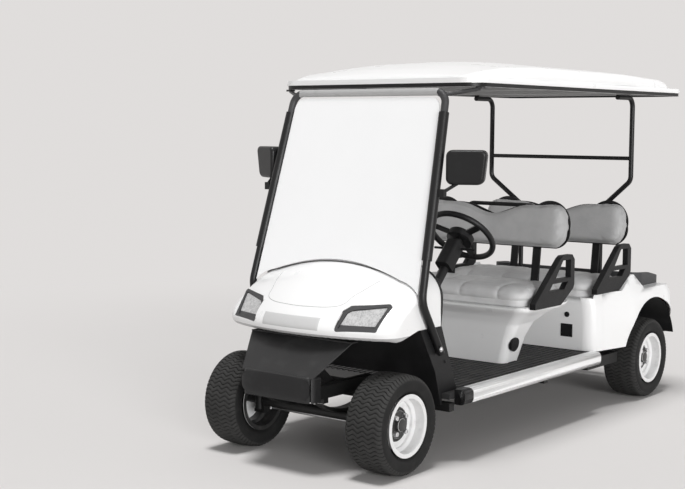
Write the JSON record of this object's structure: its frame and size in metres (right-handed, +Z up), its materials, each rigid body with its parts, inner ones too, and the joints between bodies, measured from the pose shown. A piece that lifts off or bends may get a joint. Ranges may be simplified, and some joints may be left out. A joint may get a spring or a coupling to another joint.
{
  "type": "electric shuttle cart",
  "caption": "Open electric shuttle cart with two bench seats, hard roof, flat windscreen, steered front wheels and a bag well behind.",
  "frame": {"origin": "on the floor, under the middle of the bounding box", "axes": "+Z up, front faces -Y, the driver sits on the +X side"},
  "size_m": [1.3852, 3.1, 1.8897],
  "materials": {
    "black_steel": "satin powder coat",
    "floor_rubber": "ribbed matt",
    "white_plastic": "gloss",
    "dark_plastic": "grained",
    "lamp_lens": "clear over reflector",
    "clear_screen": "clear",
    "seat_vinyl": "grained vinyl",
    "red_lens": "gloss",
    "grey_plastic": "grained",
    "bright_steel": "plated",
    "battery_case": "matt",
    "tyre_rubber": "matt",
    "white_rim": "gloss"
  },
  "bodies": {
    "chassis": {"chassis_frame": "black_steel", "floor_panel": "floor_rubber", "side_sills": "white_plastic", "front_cowl": "white_plastic", "headlamp_bezels": "dark_plastic", "headlamp_lenses": "lamp_lens", "front_valance": "dark_plastic", "footwell_shell": "dark_plastic", "dashboard": "dark_plastic", "screen_hoop": "black_steel", "windscreen": "clear_screen", "roof_shell": "white_plastic", "roof_frame": "black_steel", "rear_struts": "black_steel", "mirrors": "dark_plastic", "steering_column": "dark_plastic", "pedals": "dark_plastic", "front_podium": "white_plastic", "front_cushion": "seat_vinyl", "front_backrest": "seat_vinyl", "front_back_shell": "dark_plastic", "armrests": "dark_plastic", "rear_body": "white_plastic", "rear_cushion": "seat_vinyl", "rear_backrest": "seat_vinyl", "rear_back_shell": "dark_plastic", "wheel_arch_liners": "dark_plastic", "tail_lamps": "red_lens", "body_ports": "dark_plastic", "bag_deck": "grey_plastic", "front_axle": "black_steel", "rear_axle": "black_steel", "battery_block": "battery_case"},
    "steering": {"steering_wheel": "dark_plastic"},
    "knuckle_left": {"knuckle_left": "black_steel"},
    "knuckle_right": {"knuckle_right": "black_steel"},
    "tie_rod": {"tie_rod": "bright_steel"},
    "wheel_front_left": {"tyre_front_left": "tyre_rubber", "rim_front_left": "white_rim"},
    "wheel_front_right": {"tyre_front_right": "tyre_rubber", "rim_front_right": "white_rim"},
    "wheel_rear_left": {"tyre_rear_left": "tyre_rubber", "rim_rear_left": "white_rim"},
    "wheel_rear_right": {"tyre_rear_right": "tyre_rubber", "rim_rear_right": "white_rim"}
  },
  "joints": [
    {"name": "steering_turn", "type": "hinge", "parent": "chassis", "child": "steering", "pos_m": [0.246, -0.415, 1.012], "axis": [0, 0.6947, 0.7193], "range_deg": [-450, 450]},
    {"name": "knuckle_left_turn", "type": "hinge", "parent": "chassis", "child": "knuckle_left", "pos_m": [0.36, -1.25, 0.2295], "axis": [0, 0, 1], "range_deg": [-30, 30]},
    {"name": "knuckle_right_turn", "type": "hinge", "parent": "chassis", "child": "knuckle_right", "pos_m": [-0.36, -1.25, 0.2295], "axis": [0, 0, 1], "range_deg": [-30, 30]},
    {"name": "tie_rod_turn", "type": "hinge", "parent": "knuckle_left", "child": "tie_rod", "pos_m": [0.36, -1.17, 0.18], "axis": [0, 0, 1], "range_deg": [-30, 30]},
    {"name": "wheel_front_left_spin", "type": "hinge", "parent": "knuckle_left", "child": "wheel_front_left", "pos_m": [0.43, -1.25, 0.2295], "axis": [1, 0, 0], "continuous": true},
    {"name": "wheel_front_right_spin", "type": "hinge", "parent": "knuckle_right", "child": "wheel_front_right", "pos_m": [-0.43, -1.25, 0.2295], "axis": [1, 0, 0], "continuous": true},
    {"name": "wheel_rear_left_spin", "type": "hinge", "parent": "chassis", "child": "wheel_rear_left", "pos_m": [0.4975, 1.07, 0.2295], "axis": [1, 0, 0], "continuous": true},
    {"name": "wheel_rear_right_spin", "type": "hinge", "parent": "chassis", "child": "wheel_rear_right", "pos_m": [-0.4975, 1.07, 0.2295], "axis": [1, 0, 0], "continuous": true}
  ],
  "couplings": [
    {"joint": "knuckle_left_turn", "follows": "steering_turn", "ratio": 0.066667},
    {"joint": "knuckle_right_turn", "follows": "steering_turn", "ratio": 0.066667},
    {"joint": "tie_rod_turn", "follows": "steering_turn", "ratio": -0.066667}
  ]
}
